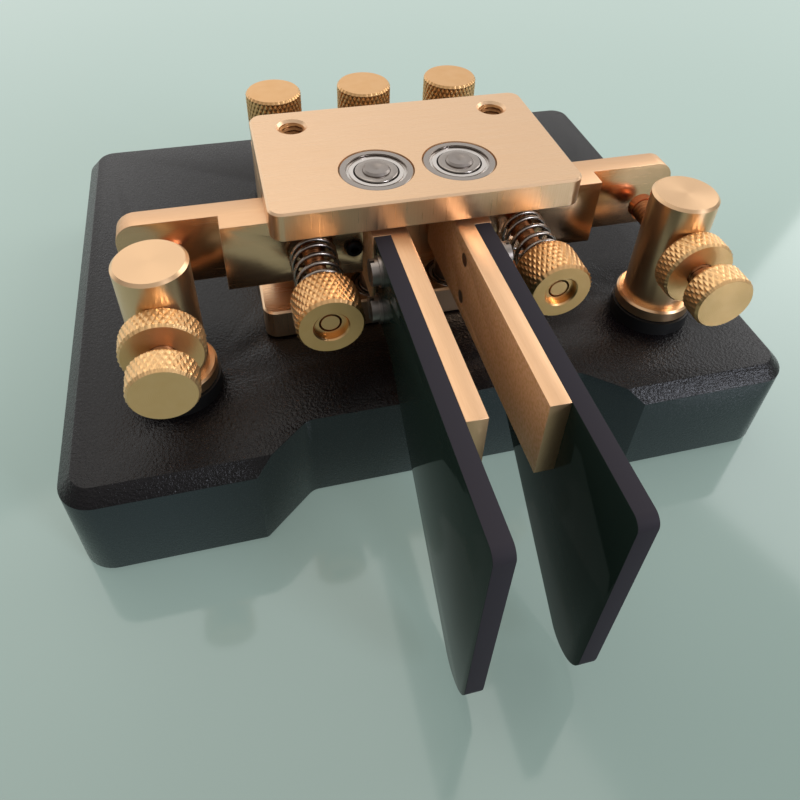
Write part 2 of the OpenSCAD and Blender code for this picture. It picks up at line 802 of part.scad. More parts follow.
module contact_post(side) {
    x = sides(side) * post_x;
    foot_top_z = post_foot_z + post_foot_t;
    color(brass)
        difference() {
            union() {
                drum_z(x, post_y, post_foot_r, post_foot_z, foot_top_z, 0.3);
                drum_z(x, post_y, post_r, foot_top_z - 0.5, foot_top_z + post_h, turned_edge);
            }
            bar_y(x, axis_z, contact_screw_r + run_play, post_y - post_r - over, post_y + post_r + over);
            bar_z(x, post_y, m3_r, post_foot_z - over, post_foot_z + post_tap);
        }
}

module contact_screw(side) {
    x = sides(side) * post_x;
    color(brass) {
        drum_y(x, axis_z, contact_head_r, head_back_y - contact_head_t, head_back_y, turned_edge);
        bar_y(x, axis_z, contact_screw_r, head_back_y - 0.5, tip_front_y - tip_t);
    }
}

module contact_tip(side) {
    x = sides(side) * post_x;
    dome = tip_r * 1.25;
    color("#B97A56")
        intersection() {
            bar_y(x, axis_z, tip_r, tip_front_y - tip_t, tip_front_y);
            translate([x, tip_front_y - dome, axis_z])
                sphere(r = dome);
        }
}

module lock_nut(side) {
    x = sides(side) * post_x;
    color(brass)
        difference() {
            drum_y(x, axis_z, lock_nut_r, lock_front_y, lock_back_y, turned_edge);
            bar_y(x, axis_z, contact_screw_r + run_play, lock_front_y - over, lock_back_y + over);
        }
}

// A shouldered bush through the base, and the washer that ends it in the counterbore below
module bush(p, shoulder_r, shoulder_t) {
    difference() {
        union() {
            bar_z(p[0], p[1], shoulder_r, base_top_z, base_top_z + shoulder_t);
            bar_z(p[0], p[1], bush_tube_r, channel_z, base_top_z + shoulder_t / 2);
        }
        bar_z(p[0], p[1], bush_hole_r, channel_z - over, base_top_z + shoulder_t + over);
    }
    difference() {
        bar_z(p[0], p[1], bush_base_r, channel_z - bush_base_t, channel_z);
        bar_z(p[0], p[1], bush_hole_r, channel_z - bush_base_t - over, channel_z + over);
    }
}

// A pan-head screw that points up through a bush into a post
module post_screw(p, end_z) {
    head_top = channel_z - bush_base_t - lug_t;
    bar_z(p[0], p[1], m3_r, head_top - 0.5, end_z);
    drum_z(p[0], p[1], m3_head_r, head_top - pan_head_h, head_top, 0.3);
}

module contact_post_bushes() {
    color(black_plastic)
        for (p = contact_places)
            bush(p, post_bush_r, post_bush_t);
}

module contact_post_screws() {
    color(steel)
        for (p = contact_places)
            post_screw(p, post_foot_z + post_tap - tap_spare);
}

module binding_post(i) {
    p = binding_places[i];
    stud_bore_z = binding_top_z - stud_reach - 1.2;
    wire_z = binding_top_z - 2.6;
    color(brass)
        difference() {
            drum_z(p[0], p[1], binding_r, binding_foot_z, binding_top_z, 0.3);
            bar_z(p[0], p[1], m3_r, binding_foot_z - over, binding_foot_z + binding_tap);
            bar_z(p[0], p[1], m3_r + run_play, stud_bore_z, binding_top_z + over);
            bar_y(p[0], wire_z, wire_hole_r, p[1] - binding_r - over, p[1] + binding_r + over);
        }
}

cap_gap = 0.1;
cap_bore = 5;
// at rest the stud closes the wire hole
stud_reach = 4;

module binding_stud(i) {
    p = binding_places[i];
    color(steel)
        drum_z(p[0], p[1], m3_r, binding_top_z - stud_reach, binding_top_z + cap_gap + cap_bore, 0.2);
}

module binding_cap(i) {
    p = binding_places[i];
    color(brass)
        difference() {
            drum_z(p[0], p[1], cap_r, binding_top_z + cap_gap, binding_top_z + cap_gap + cap_h, turned_edge);
            bar_z(p[0], p[1], m3_r, binding_top_z - over, binding_top_z + cap_gap + cap_bore);
        }
}

module binding_bushes() {
    color(black_plastic)
        for (p = binding_places)
            bush(p, binding_r, binding_bush_t);
}

module binding_post_screws() {
    color(steel)
        for (p = binding_places)
            post_screw(p, binding_foot_z + binding_tap - tap_spare);
}

// A ring lug whose tail points along its lead
module lug(hole_r, top_z) {
    difference() {
        union() {
            translate([0, 0, top_z - lug_t])
                cylinder(h = lug_t, r = lug_r);
            translate([0, -lug_tail_w / 2, top_z - lug_t])
                cube([lug_tail, lug_tail_w, lug_t]);
        }
        translate([0, 0, top_z - lug_t - over])
            cylinder(h = lug_t + 2 * over, r = hole_r);
    }
}

// height of the lug at a lead's first end: under the frame screw, or under a bush's washer
function first_lug_z(i) = i == 2 ? channel_z : channel_z - bush_base_t;
second_lug_z = channel_z - bush_base_t;

module wire_lugs() {
    color(steel)
        for (i = [0 : len(lead_runs) - 1]) {
            run = lead_runs[i];
            along_lead(run)
                lug(i == 2 ? frame_screw_r : m3_r, first_lug_z(i));
            along_lead([run[1], run[0]])
                lug(m3_r, second_lug_z);
        }
}

// A lead lies under its two lugs' tails, where it is soldered
lead_lap = 2;

module lead(i) {
    run = lead_runs[i];
    between_tails = norm(run[1] - run[0]) - 2 * lug_tail;
    tilt = atan2(first_lug_z(i) - second_lug_z, between_tails + lead_lap);
    color(i == 0 ? "#7A2E22" : i == 1 ? "#2F5B3A" : "#2B2B2E")
        along_lead(run)
            translate([lug_tail - lead_lap, 0, first_lug_z(i) - lug_t - lead_r / cos(tilt)])
                rotate([0, 90 + tilt, 0])
                    cylinder(h = (between_tails + 2 * lead_lap) / cos(tilt), r = lead_r, $fn = 24);
}

base();
base_feet();
bottom_plate();
rear_block();
top_plate();
frame_screws();
bottom_plate_screws();
bearing_outer_rings();
bearing_shields();
bearing_balls();
inner_rings("left");  // left_inner_rings
inner_rings("right");  // right_inner_rings
pivot_pin("left");  // left_pivot_pin
pivot_pin("right");  // right_pivot_pin
spacers("left");  // left_spacers
spacers("right");  // right_spacers
lever("left");  // left_lever
lever("right");  // right_lever
fingerpiece("left");  // left_fingerpiece
fingerpiece("right");  // right_fingerpiece
fingerpiece_screws("left");  // left_fingerpiece_screws
fingerpiece_screws("right");  // right_fingerpiece_screws
stop_screw("left");  // left_stop_screw
stop_screw("right");  // right_stop_screw
tension_stud("left");  // left_tension_stud
tension_stud("right");  // right_tension_stud
tension_spring("left");  // left_tension_spring
tension_spring("right");  // right_tension_spring
tension_nut("left");  // left_tension_nut
tension_nut("right");  // right_tension_nut
contact_post("left");  // left_contact_post
contact_post("right");  // right_contact_post
contact_screw("left");  // left_contact_screw
contact_screw("right");  // right_contact_screw
contact_tip("left");  // left_contact_tip
contact_tip("right");  // right_contact_tip
lock_nut("left");  // left_lock_nut
lock_nut("right");  // right_lock_nut
contact_post_bushes();
contact_post_screws();
binding_post(0);  // left_binding_post
binding_post(1);  // common_binding_post
binding_post(2);  // right_binding_post
binding_stud(0);  // left_binding_stud
binding_stud(1);  // common_binding_stud
binding_stud(2);  // right_binding_stud
binding_cap(0);  // left_binding_cap
binding_cap(1);  // common_binding_cap
binding_cap(2);  // right_binding_cap
binding_bushes();
binding_post_screws();
wire_lugs();
lead(0);  // left_wire
lead(1);  // right_wire
lead(2);  // common_wire
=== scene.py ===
import math

import bmesh
import bpy
import numpy as np
from mathutils import Matrix, Vector


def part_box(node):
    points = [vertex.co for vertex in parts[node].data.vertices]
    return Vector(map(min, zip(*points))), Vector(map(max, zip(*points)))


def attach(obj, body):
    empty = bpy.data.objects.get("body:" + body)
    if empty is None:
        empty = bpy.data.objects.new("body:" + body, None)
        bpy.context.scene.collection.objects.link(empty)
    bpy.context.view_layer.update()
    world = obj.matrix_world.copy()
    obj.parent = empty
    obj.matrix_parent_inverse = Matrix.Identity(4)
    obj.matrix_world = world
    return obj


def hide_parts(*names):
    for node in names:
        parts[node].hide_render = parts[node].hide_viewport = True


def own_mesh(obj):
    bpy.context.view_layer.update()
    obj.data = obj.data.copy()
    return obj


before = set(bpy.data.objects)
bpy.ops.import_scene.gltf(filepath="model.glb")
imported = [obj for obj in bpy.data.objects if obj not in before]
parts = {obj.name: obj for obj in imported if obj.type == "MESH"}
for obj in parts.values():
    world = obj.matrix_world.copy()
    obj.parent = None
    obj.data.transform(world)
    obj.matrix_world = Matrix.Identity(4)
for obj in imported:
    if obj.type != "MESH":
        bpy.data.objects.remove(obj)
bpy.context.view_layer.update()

# ---------------------------------------------------------------- camera
# A phone held above the operator's side of the table, a little to the left.
# The photograph is the lower part of a taller picture, so the lens looks down past its centre.
mm = 0.001
camera_place = Vector((-26.59, -89.60, 99.68)) * mm
camera_azimuth, camera_elevation, camera_roll = map(math.radians, (-15.57, 41.68, 2.12))
focal_px, frame_px, centre_row_px = 734.6, 800, 300
back = Vector((math.sin(camera_azimuth) * math.cos(camera_elevation),
               -math.cos(camera_azimuth) * math.cos(camera_elevation), math.sin(camera_elevation)))
level_right = (-back).cross(Vector((0, 0, 1))).normalized()
level_up = level_right.cross(-back)
right = math.cos(camera_roll) * level_right + math.sin(camera_roll) * level_up
up = math.cos(camera_roll) * level_up - math.sin(camera_roll) * level_right
phone = bpy.data.objects.new("phone_camera", bpy.data.cameras.new("phone_camera"))
bpy.context.scene.collection.objects.link(phone)
phone.location = camera_place
phone.rotation_mode = "QUATERNION"
phone.rotation_quaternion = Matrix((right, up, back)).transposed().to_quaternion()
phone.data.sensor_width = 36
phone.data.lens = focal_px / frame_px * phone.data.sensor_width
phone.data.shift_y = (centre_row_px - frame_px / 2) / frame_px
phone.data.clip_start, phone.data.clip_end = 0.005, 20
bpy.context.scene.camera = phone
bpy.context.scene.view_settings.view_transform = "Standard"


# ---------------------------------------------------------------- table top and light
# A sheet of pale green-grey back-painted glass: smooth, so the key mirrors softly in it.
# Window light comes from behind and above, with a dimmer room in front.
def linear(code):
    """The linear colour of an sRGB hex code, with alpha 1."""
    parts_of_code = [int(code[i:i + 2], 16) / 255 for i in (1, 3, 5)]
    return [c / 12.92 if c <= 0.04045 else ((c + 0.055) / 1.055) ** 2.4 for c in parts_of_code] + [1]


def add(tree, kind, inputs=(), **settings):
    """Adds a node with its settings; inputs holds values or the sockets they come from."""
    made = tree.nodes.new(kind)
    for name, value in settings.items():
        setattr(made, name, value)
    for name, value in dict(inputs).items():
        if isinstance(value, bpy.types.NodeSocket):
            tree.links.new(value, made.inputs[name])
        else:
            made.inputs[name].default_value = value
    return made


def surface(name, code, metallic, roughness, **sockets):
    """A material on one Principled shader; its constants are set on the shader's own sockets."""
    made = bpy.data.materials.new(name)
    made.use_nodes = True
    shader = made.node_tree.nodes["Principled BSDF"]
    shader.inputs["Base Color"].default_value = linear(code)
    shader.inputs["Metallic"].default_value = metallic
    shader.inputs["Roughness"].default_value = roughness
    for socket, value in sockets.items():
        shader.inputs[socket.replace("_", " ")].default_value = value
    return made, made.node_tree, shader


# the sheet glows with just under half of its tone, a painted light that fills the key's shadow on it; the
# lamps and room light the rest
painted_glow, lit_share = 0.42, 0.52
glass, tree, shader = surface("back_painted_glass", "#B4C9C0", 0, 0.09, IOR=1.5, Emission_Strength=painted_glow)
where = add(tree, "ShaderNodeTexCoord").outputs["Object"]
cloud = add(tree, "ShaderNodeTexNoise", {"Vector": where, "Scale": 3.0, "Detail": 2.0})
# painted shade: the sheet's colour darkens toward the operator's edge, over these metres, in place of the
# light falling off there
painted_shade_y, unshaded_y = -0.10, 0.06
depth = add(tree, "ShaderNodeSeparateXYZ", {"Vector": where}).outputs["Y"]
near = add(tree, "ShaderNodeMapRange", {"Value": depth, "From Min": painted_shade_y, "From Max": unshaded_y},
           interpolation_type="SMOOTHSTEP")
far_tint = add(tree, "ShaderNodeMix", {"Factor": cloud.outputs["Fac"], "A": linear("#AEC4BB"),
                                       "B": linear("#B6CBC3")}, data_type="RGBA")
# the dark end of this mix is painted shade toward the operator, not the sheet's own paint
tint_and_painted_shade = add(tree, "ShaderNodeMix", {"Factor": near.outputs[0], "A": linear("#8DA199"),
                                   "B": far_tint.outputs["Result"]}, data_type="RGBA")
dimmed = add(tree, "ShaderNodeVectorMath", {0: tint_and_painted_shade.outputs["Result"], "Scale": lit_share}, operation="SCALE")
tree.links.new(dimmed.outputs[0], shader.inputs["Base Color"])
tree.links.new(tint_and_painted_shade.outputs["Result"], shader.inputs["Emission Color"])
table_half = 3.0
table_mesh = bpy.data.meshes.new("table_top")
table_mesh.from_pydata([(-table_half, -table_half, 0), (table_half, -table_half, 0),
                        (table_half, table_half, 0), (-table_half, table_half, 0)], [], [(0, 1, 2, 3)])
table_mesh.materials.append(glass)
table_top = bpy.data.objects.new("table_top", table_mesh)
bpy.context.scene.collection.objects.link(table_top)

room = bpy.data.worlds.new("room")
bpy.context.scene.world = room
room.use_nodes = True
tree = room.node_tree
tree.nodes.clear()
direction = add(tree, "ShaderNodeTexCoord").outputs["Generated"]
axes = add(tree, "ShaderNodeSeparateXYZ", {"Vector": direction})
# a bright window wall behind the key, a dimmer ceiling and a dark room in front
wall = add(tree, "ShaderNodeMapRange", {"Value": axes.outputs["Y"], "From Min": -0.1, "From Max": 0.7,
                                        "To Min": 0.0, "To Max": 1.0}, interpolation_type="SMOOTHSTEP")
above = add(tree, "ShaderNodeMapRange", {"Value": axes.outputs["Z"], "From Min": 0.5, "From Max": 0.95,
                                         "To Min": 1.12, "To Max": 0.6}, interpolation_type="SMOOTHSTEP")
ceiling = add(tree, "ShaderNodeMapRange", {"Value": axes.outputs["Z"], "From Min": 0.0, "From Max": 0.8,
                                           "To Min": 0.18, "To Max": 0.6}, interpolation_type="SMOOTHSTEP")
side = add(tree, "ShaderNodeMapRange", {"Value": axes.outputs["X"], "From Min": -0.2, "From Max": 0.6,
                                        "To Min": 1.05, "To Max": 0.74})
window = add(tree, "ShaderNodeMath", {0: wall.outputs[0], 1: above.outputs[0]}, operation="MULTIPLY")
shaped = add(tree, "ShaderNodeMath", {0: window.outputs[0], 1: side.outputs[0]}, operation="MULTIPLY")
lower = add(tree, "ShaderNodeMath", {0: shaped.outputs[0], 1: ceiling.outputs[0]}, operation="MAXIMUM")
# a pale wall low on the front right, seen in the plate's front edge
front_right = Vector((0.62, -0.76, 0.12)).normalized()
toward = add(tree, "ShaderNodeVectorMath", {0: direction, 1: front_right}, operation="DOT_PRODUCT")
pale_wall = add(tree, "ShaderNodeMapRange", {"Value": toward.outputs["Value"], "From Min": 0.82,
                                             "From Max": 1.0, "To Min": 0.0, "To Max": 1.2},
                interpolation_type="SMOOTHSTEP")
level = add(tree, "ShaderNodeMath", {0: lower.outputs[0], 1: pale_wall.outputs[0]}, operation="MAXIMUM")
lit = add(tree, "ShaderNodeBackground", {"Color": linear("#FBFAF8"), "Strength": level.outputs[0]})
add(tree, "ShaderNodeOutputWorld", {"Surface": lit.outputs[0]})

# soft lamps for the ceiling and for a window on the right and one in front
for name, place, size, watts, code in (
        ("ceiling_lamp", (-0.15, 0.35, 1.10), (0.9, 0.9), 3.0, "#FFF9F0"),
        ("right_window", (0.55, 0.20, 0.40), (0.4, 0.4), 1.2, "#FFFFFF"),
        ("front_window", (0.60, -0.79, 0.43), (0.25, 0.30), 5.0, "#EAF0FF")):
    lamp = bpy.data.lights.new(name, "AREA")
    lamp.shape = "RECTANGLE"
    lamp.size, lamp.size_y = size
    lamp.energy = watts
    lamp.color = linear(code)[:3]
    holder = bpy.data.objects.new(name, lamp)
    holder.location = place
    holder.visible_camera = False
    holder.rotation_mode = "QUATERNION"
    holder.rotation_quaternion = (-Vector(place)).to_track_quat("-Z", "Y")
    bpy.context.scene.collection.objects.link(holder)


# ---------------------------------------------------------------- base block
# A milled steel block, powder coated in black wrinkle finish.
# The coat gathers into low glossy grains, about 0.5 mm apart, and lies smoother on the sides.
wrinkle, tree, shader = surface("black_wrinkle_coat", "#0C090B", 0, 0.38, IOR=1.37)
where = add(tree, "ShaderNodeTexCoord").outputs["Object"]
grain_mm, pit_mm, grain_high_mm = 0.42, 0.2, 0.2
grain = add(tree, "ShaderNodeTexVoronoi", {"Vector": where, "Scale": 1 / (grain_mm * mm),
                                           "Randomness": 1.0}, feature="SMOOTH_F1")
fine = add(tree, "ShaderNodeTexNoise", {"Vector": where, "Scale": 1 / (pit_mm * mm), "Detail": 3.0})
heap = add(tree, "ShaderNodeMath", {0: grain.outputs["Distance"], 1: fine.outputs["Fac"]}, operation="ADD")
facing = add(tree, "ShaderNodeNewGeometry").outputs["Normal"]
upward = add(tree, "ShaderNodeSeparateXYZ", {"Vector": facing}).outputs["Z"]
strong = add(tree, "ShaderNodeMapRange", {"Value": upward, "From Min": 0.1, "From Max": 0.7,
                                          "To Min": 0.12, "To Max": 0.44})
relief = add(tree, "ShaderNodeBump", {"Height": heap.outputs[0], "Strength": strong.outputs[0],
                                      "Distance": grain_high_mm * mm})
tree.links.new(relief.outputs[0], shader.inputs["Normal"])
shine = add(tree, "ShaderNodeMapRange", {"Value": fine.outputs["Fac"], "From Min": 0.3, "From Max": 0.7,
                                         "To Min": 0.13, "To Max": 0.34})
tree.links.new(shine.outputs[0], shader.inputs["Roughness"])
worn = add(tree, "ShaderNodeMix", {"Factor": grain.outputs["Distance"], "A": linear("#0F0B0E"),
                                   "B": linear("#070506")}, data_type="RGBA")
# painted reflection: the sides get a paler blue-grey base colour for the pale floor they mirror; the top
# keeps the dark glossy grains
side_painted_reflection = add(tree, "ShaderNodeMapRange", {"Value": upward, "From Min": 0.2, "From Max": 0.6,
                                              "To Min": 1.0, "To Max": 0.0})
coat = add(tree, "ShaderNodeMix", {"Factor": side_painted_reflection.outputs[0], "A": worn.outputs["Result"],
                                   "B": linear("#272F31")}, data_type="RGBA")
tree.links.new(coat.outputs["Result"], shader.inputs["Base Color"])


def dress(material, *names):
    """Gives CAD nodes a material."""
    for name in names:
        mesh = parts[name].data
        mesh.materials.clear()
        mesh.materials.append(material)


def softened(name, nodes, width, material, body, segments=2):
    """A copy of CAD nodes' meshes with their sharp edges broken by width, in their place."""
    work = bmesh.new()
    for node in nodes:
        work.from_mesh(parts[node].data)
    bmesh.ops.remove_doubles(work, verts=work.verts, dist=1e-7)
    bmesh.ops.dissolve_limit(work, angle_limit=math.radians(1), verts=work.verts, edges=work.edges)
    sharp = [e for e in work.edges if len(e.link_faces) == 2 and e.calc_face_angle(0) > math.radians(25)]
    bmesh.ops.bevel(work, geom=sharp, offset=width, offset_type="OFFSET", segments=segments, profile=0.5,
                    affect="EDGES", clamp_overlap=True)
    mesh = bpy.data.meshes.new(name)
    work.to_mesh(mesh)
    work.free()
    mesh.shade_smooth()
    mesh.set_sharp_from_angle(angle=math.radians(40))
    mesh.materials.append(material)
    made = bpy.data.objects.new(name, mesh)
    bpy.context.scene.collection.objects.link(made)
    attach(made, body)
    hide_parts(*nodes)
    return made


# the coat rounds the block's edges
coat_round = 0.35 * mm
base_block = softened("base_block", ["base"], coat_round, wrinkle, "frame")

# ---------------------------------------------------------------- feet and hidden fixings
# Moulded rubber discs in recesses, zinc-plated screws, tinned lugs and PVC-covered wire.
# They are only seen from below.
def uneven(finish, size_mm, strength, deep_mm, detail=2.0):
    """Gives a finish a soft relief of dents that are size_mm across and up to deep_mm deep."""
    material, tree, shader = finish
    where = add(tree, "ShaderNodeTexCoord").outputs["Object"]
    dents = add(tree, "ShaderNodeTexNoise", {"Vector": where, "Scale": 1 / (size_mm * mm), "Detail": detail})
    relief = add(tree, "ShaderNodeBump", {"Height": dents.outputs["Fac"], "Strength": strength,
                                          "Distance": deep_mm * mm})
    tree.links.new(relief.outputs[0], shader.inputs["Normal"])
    return material


def clouded(finish, size_mm, least, most, detail=3.0):
    """Lets a finish's roughness wander from least to most in clouds that are size_mm across."""
    material, tree, shader = finish
    where = add(tree, "ShaderNodeTexCoord").outputs["Object"]
    clouds = add(tree, "ShaderNodeTexNoise", {"Vector": where, "Scale": 1 / (size_mm * mm), "Detail": detail})
    shine = add(tree, "ShaderNodeMapRange", {"Value": clouds.outputs["Fac"], "To Min": least, "To Max": most})
    tree.links.new(shine.outputs[0], shader.inputs["Roughness"])
    return material


# moulding leaves the rubber matt, with pores in its skin
rubber = uneven(surface("moulded_rubber", "#242424", 0, 0.75, IOR=1.5), 0.4, 0.4, 0.05, 4.0)
dress(rubber, "base_feet")

# zinc plate on steel gives a cool bright skin with faint cloudy blots
zinc = clouded(surface("zinc_plated_steel", "#B9B9B6", 1, 0.28), 0.8, 0.18, 0.4)
dress(zinc, "frame_screws", "bottom_plate_screws", "contact_post_screws", "binding_post_screws",
      "left_binding_stud", "common_binding_stud", "right_binding_stud", "wire_lugs")

# PVC drawn round a wire has an even, waxy sheen and wavers a little
for name, code in (("left_wire", "#8C2F24"), ("right_wire", "#2F6B3E"), ("common_wire", "#2B2B2E")):
    dress(uneven(surface("pvc_" + name, code, 0, 0.45, IOR=1.5), 1.5, 0.3, 0.05), name)

# ---------------------------------------------------------------- insulating bushes
# Shouldered bushes of black acetal, turned, that keep the posts off the metal base.
# Turning leaves the plastic satin, with faint tool marks.
acetal = uneven(surface("black_acetal", "#0E0E0F", 0, 0.5, IOR=1.48), 0.5, 0.2, 0.03)
dress(acetal, "contact_post_bushes", "binding_bushes")

# ---------------------------------------------------------------- bearing frame
# Two plates and a block of brass, milled and then brushed along their length.
# Brushing leaves hair-fine lines that draw reflections out across them.
brass_code, brass_deep_code = "#F4D0AC", "#E2BA92"
brushed, tree, shader = surface("brushed_brass", brass_code, 1, 0.3)
where = add(tree, "ShaderNodeTexCoord").outputs["Object"]
# hairs are about 0.03 mm wide; drawn 0.12 mm wide and 9 mm long so that they show
hair_mm, hair_length_mm = 0.12, 9.0
flat_lines = (1 / (hair_length_mm * mm), 1 / (hair_mm * mm), 1 / (hair_mm * mm))
edge_lines = (1 / (hair_mm * mm), 1 / (hair_mm * mm), 1 / (hair_length_mm * mm))
drawn = []
for scale in (flat_lines, edge_lines):
    stretched = add(tree, "ShaderNodeMapping", {"Vector": where, "Scale": scale})
    drawn.append(add(tree, "ShaderNodeTexNoise", {"Vector": stretched.outputs[0], "Scale": 1.0,
                                                  "Detail": 3.0}))
facing = add(tree, "ShaderNodeNewGeometry").outputs["Normal"]
upward = add(tree, "ShaderNodeSeparateXYZ", {"Vector": facing}).outputs["Z"]
level_share = add(tree, "ShaderNodeMath", {0: upward}, operation="ABSOLUTE")
hairs = add(tree, "ShaderNodeMix", {"Factor": level_share.outputs[0], "A": drawn[1].outputs["Fac"],
                                    "B": drawn[0].outputs["Fac"]}).outputs["Result"]
# the tops are brushed hard, the edges are only wiped and a little duller
bite = add(tree, "ShaderNodeMapRange", {"Value": level_share.outputs[0], "To Min": 0.07, "To Max": 0.65})
relief = add(tree, "ShaderNodeBump", {"Height": hairs, "Strength": bite.outputs[0], "Distance": 0.02 * mm})
tree.links.new(relief.outputs[0], shader.inputs["Normal"])
dull_edge = add(tree, "ShaderNodeMapRange", {"Value": level_share.outputs[0], "To Min": 0.02, "To Max": 0.0})
shine = add(tree, "ShaderNodeMapRange", {"Value": hairs, "From Min": 0.3, "From Max": 0.7,
                                         "To Min": 0.24, "To Max": 0.42})
finish = add(tree, "ShaderNodeMath", {0: shine.outputs[0], 1: dull_edge.outputs[0]}, operation="ADD")
tree.links.new(finish.outputs[0], shader.inputs["Roughness"])
tone = add(tree, "ShaderNodeMix", {"Factor": hairs, "A": linear(brass_code),
                                   "B": linear(brass_deep_code)}, data_type="RGBA")
tree.links.new(tone.outputs["Result"], shader.inputs["Base Color"])
dress(brushed, "bottom_plate", "top_plate", "rear_block")


def turned(name, outline, columns, band=None, closed=False):
    """A mesh turned about Z from an outline of (radius, height) in mm.

    band is (first, last, step): between these outline points the side is split into rows that
    are step mm apart and marked in the attribute "cut". A closed outline leaves a bore."""
    rows = []
    for i, (radius, level) in enumerate(outline):
        marked = band is not None and band[0] <= i <= band[1]
        if band is not None and band[0] < i <= band[1]:
            r0, z0 = outline[i - 1]
            count = max(1, round(abs(level - z0) / band[2]))
            rows += [(r0 + (radius - r0) * k / count, z0 + (level - z0) * k / count, 1.0)
                     for k in range(1, count)]
        rows.append((radius, level, 1.0 if marked else 0.0))
    angles = np.arange(columns) * 2 * math.pi / columns
    points, marks, first = [], [], []
    for radius, level, mark in rows:
        first.append(len(points))
        ring = 1 if radius == 0 else columns
        for k in range(ring):
            points.append((radius * math.cos(angles[k]) * mm, radius * math.sin(angles[k]) * mm, level * mm))
            marks.append(mark)
    faces = []
    pairs = [(a, a + 1) for a in range(len(rows) - 1)] + ([(len(rows) - 1, 0)] if closed else [])
    for a, b in pairs:
        for k in range(columns):
            n = (k + 1) % columns
            if rows[a][0] == 0:
                faces.append((first[a], first[b] + n, first[b] + k))
            elif rows[b][0] == 0:
                faces.append((first[a] + k, first[a] + n, first[b]))
            else:
                faces.append((first[a] + k, first[a] + n, first[b] + n, first[b] + k))
    mesh = bpy.data.meshes.new(name)
    mesh.from_pydata(points, [], faces)
    mesh.attributes.new("cut", "FLOAT", "POINT").data.foreach_set("value", marks)
    work = bmesh.new()
    work.from_mesh(mesh)
    bmesh.ops.recalc_face_normals(work, faces=work.faces)
    work.to_mesh(mesh)
    work.free()
    made = bpy.data.objects.new(name, mesh)
    bpy.context.scene.collection.objects.link(made)
    return made


# The tree cuts V grooves along one helix, as a thread, or two crossed ones, as a diamond knurl.
cutter = bpy.data.node_groups.new("helical_grooves", "GeometryNodeTree")
for label, kind in (("Geometry", "NodeSocketGeometry"), ("Starts", "NodeSocketFloat"),
                    ("Rise", "NodeSocketFloat"), ("Depth", "NodeSocketFloat"),
                    ("Crossed", "NodeSocketFloat"), ("Finish", "NodeSocketMaterial")):
    cutter.interface.new_socket(label, in_out="INPUT", socket_type=kind)
cutter.interface.new_socket("Geometry", in_out="OUTPUT", socket_type="NodeSocketGeometry")
given = add(cutter, "NodeGroupInput").outputs
spot = add(cutter, "ShaderNodeSeparateXYZ", {0: add(cutter, "GeometryNodeInputPosition").outputs[0]}).outputs
angle = add(cutter, "ShaderNodeMath", {0: spot["Y"], 1: spot["X"]}, operation="ARCTAN2").outputs[0]
turn = add(cutter, "ShaderNodeMath", {0: angle, 1: 2 * math.pi}, operation="DIVIDE").outputs[0]
around = add(cutter, "ShaderNodeMath", {0: turn, 1: given["Starts"]}, operation="MULTIPLY").outputs[0]
along = add(cutter, "ShaderNodeMath", {0: spot["Z"], 1: given["Rise"]}, operation="DIVIDE").outputs[0]
ridges = []
for way in ("ADD", "SUBTRACT"):
    helix = add(cutter, "ShaderNodeMath", {0: around, 1: along}, operation=way).outputs[0]
    ridges.append(add(cutter, "ShaderNodeMath", {0: helix, 1: 0.5}, operation="PINGPONG").outputs[0])
lowest = add(cutter, "ShaderNodeMath", {0: ridges[0], 1: ridges[1]}, operation="MINIMUM").outputs[0]
ridge = add(cutter, "ShaderNodeMix", {"Factor": given["Crossed"], "A": ridges[0],
                                      "B": lowest}).outputs["Result"]
valley = add(cutter, "ShaderNodeMath", {0: -2.0, 1: ridge, 2: 1.0}, operation="MULTIPLY_ADD").outputs[0]
mark = add(cutter, "GeometryNodeInputNamedAttribute", {"Name": "cut"}, data_type="FLOAT").outputs["Attribute"]
shallow = add(cutter, "ShaderNodeMath", {0: valley, 1: mark}, operation="MULTIPLY").outputs[0]
inward = add(cutter, "ShaderNodeMath", {0: shallow, 1: given["Depth"]}, operation="MULTIPLY").outputs[0]
spoke = add(cutter, "ShaderNodeCombineXYZ", {"X": spot["X"], "Y": spot["Y"]}).outputs[0]
outward = add(cutter, "ShaderNodeVectorMath", {0: spoke}, operation="NORMALIZE").outputs[0]
back_off = add(cutter, "ShaderNodeMath", {0: inward, 1: -1.0}, operation="MULTIPLY").outputs[0]
shift = add(cutter, "ShaderNodeVectorMath", {0: outward, "Scale": back_off}, operation="SCALE").outputs[0]
moved = add(cutter, "GeometryNodeSetPosition", {"Geometry": given["Geometry"], "Offset": shift}).outputs[0]
whole = add(cutter, "GeometryNodeRealizeInstances", {0: moved}).outputs[0]
coated = add(cutter, "GeometryNodeSetMaterial", {"Geometry": whole, "Material": given["Finish"]}).outputs[0]
add(cutter, "NodeGroupOutput", {0: coated})


def cut(piece, place, material, starts=1, rise=0.7, depth=0.0, crossed=0.0, sharp=30):
    """Runs the groove tree on a turned piece, applies it and moves the mesh to its place."""
    cutting = piece.modifiers.new("grooves", "NODES")
    cutting.node_group = cutter
    wanted = {"Starts": float(starts), "Rise": rise * mm, "Depth": depth * mm, "Crossed": crossed,
              "Finish": material}
    for item in cutter.interface.items_tree:
        if item.in_out == "INPUT" and item.name in wanted:
            cutting[item.identifier] = wanted[item.name]
    depsgraph = bpy.context.evaluated_depsgraph_get()
    done = bpy.data.meshes.new_from_object(piece.evaluated_get(depsgraph))
    piece.modifiers.clear()
    done.transform(place)
    done.shade_smooth()
    done.set_sharp_from_angle(angle=math.radians(sharp))
    piece.data = done
    return piece


# The two tapped holes in the top plate show their M4 threads above the frame screws' ends.
# The tap tears the brass a little, so the threads are dull; their dark brown base colour is painted shade for
# the inside of the hole.
tapped = clouded(surface("tapped_brass", "#A9784C", 1, 0.45), 0.3, 0.35, 0.6)
hole_r, thread_depth, tap_pitch = 2.0, 0.34, 0.7
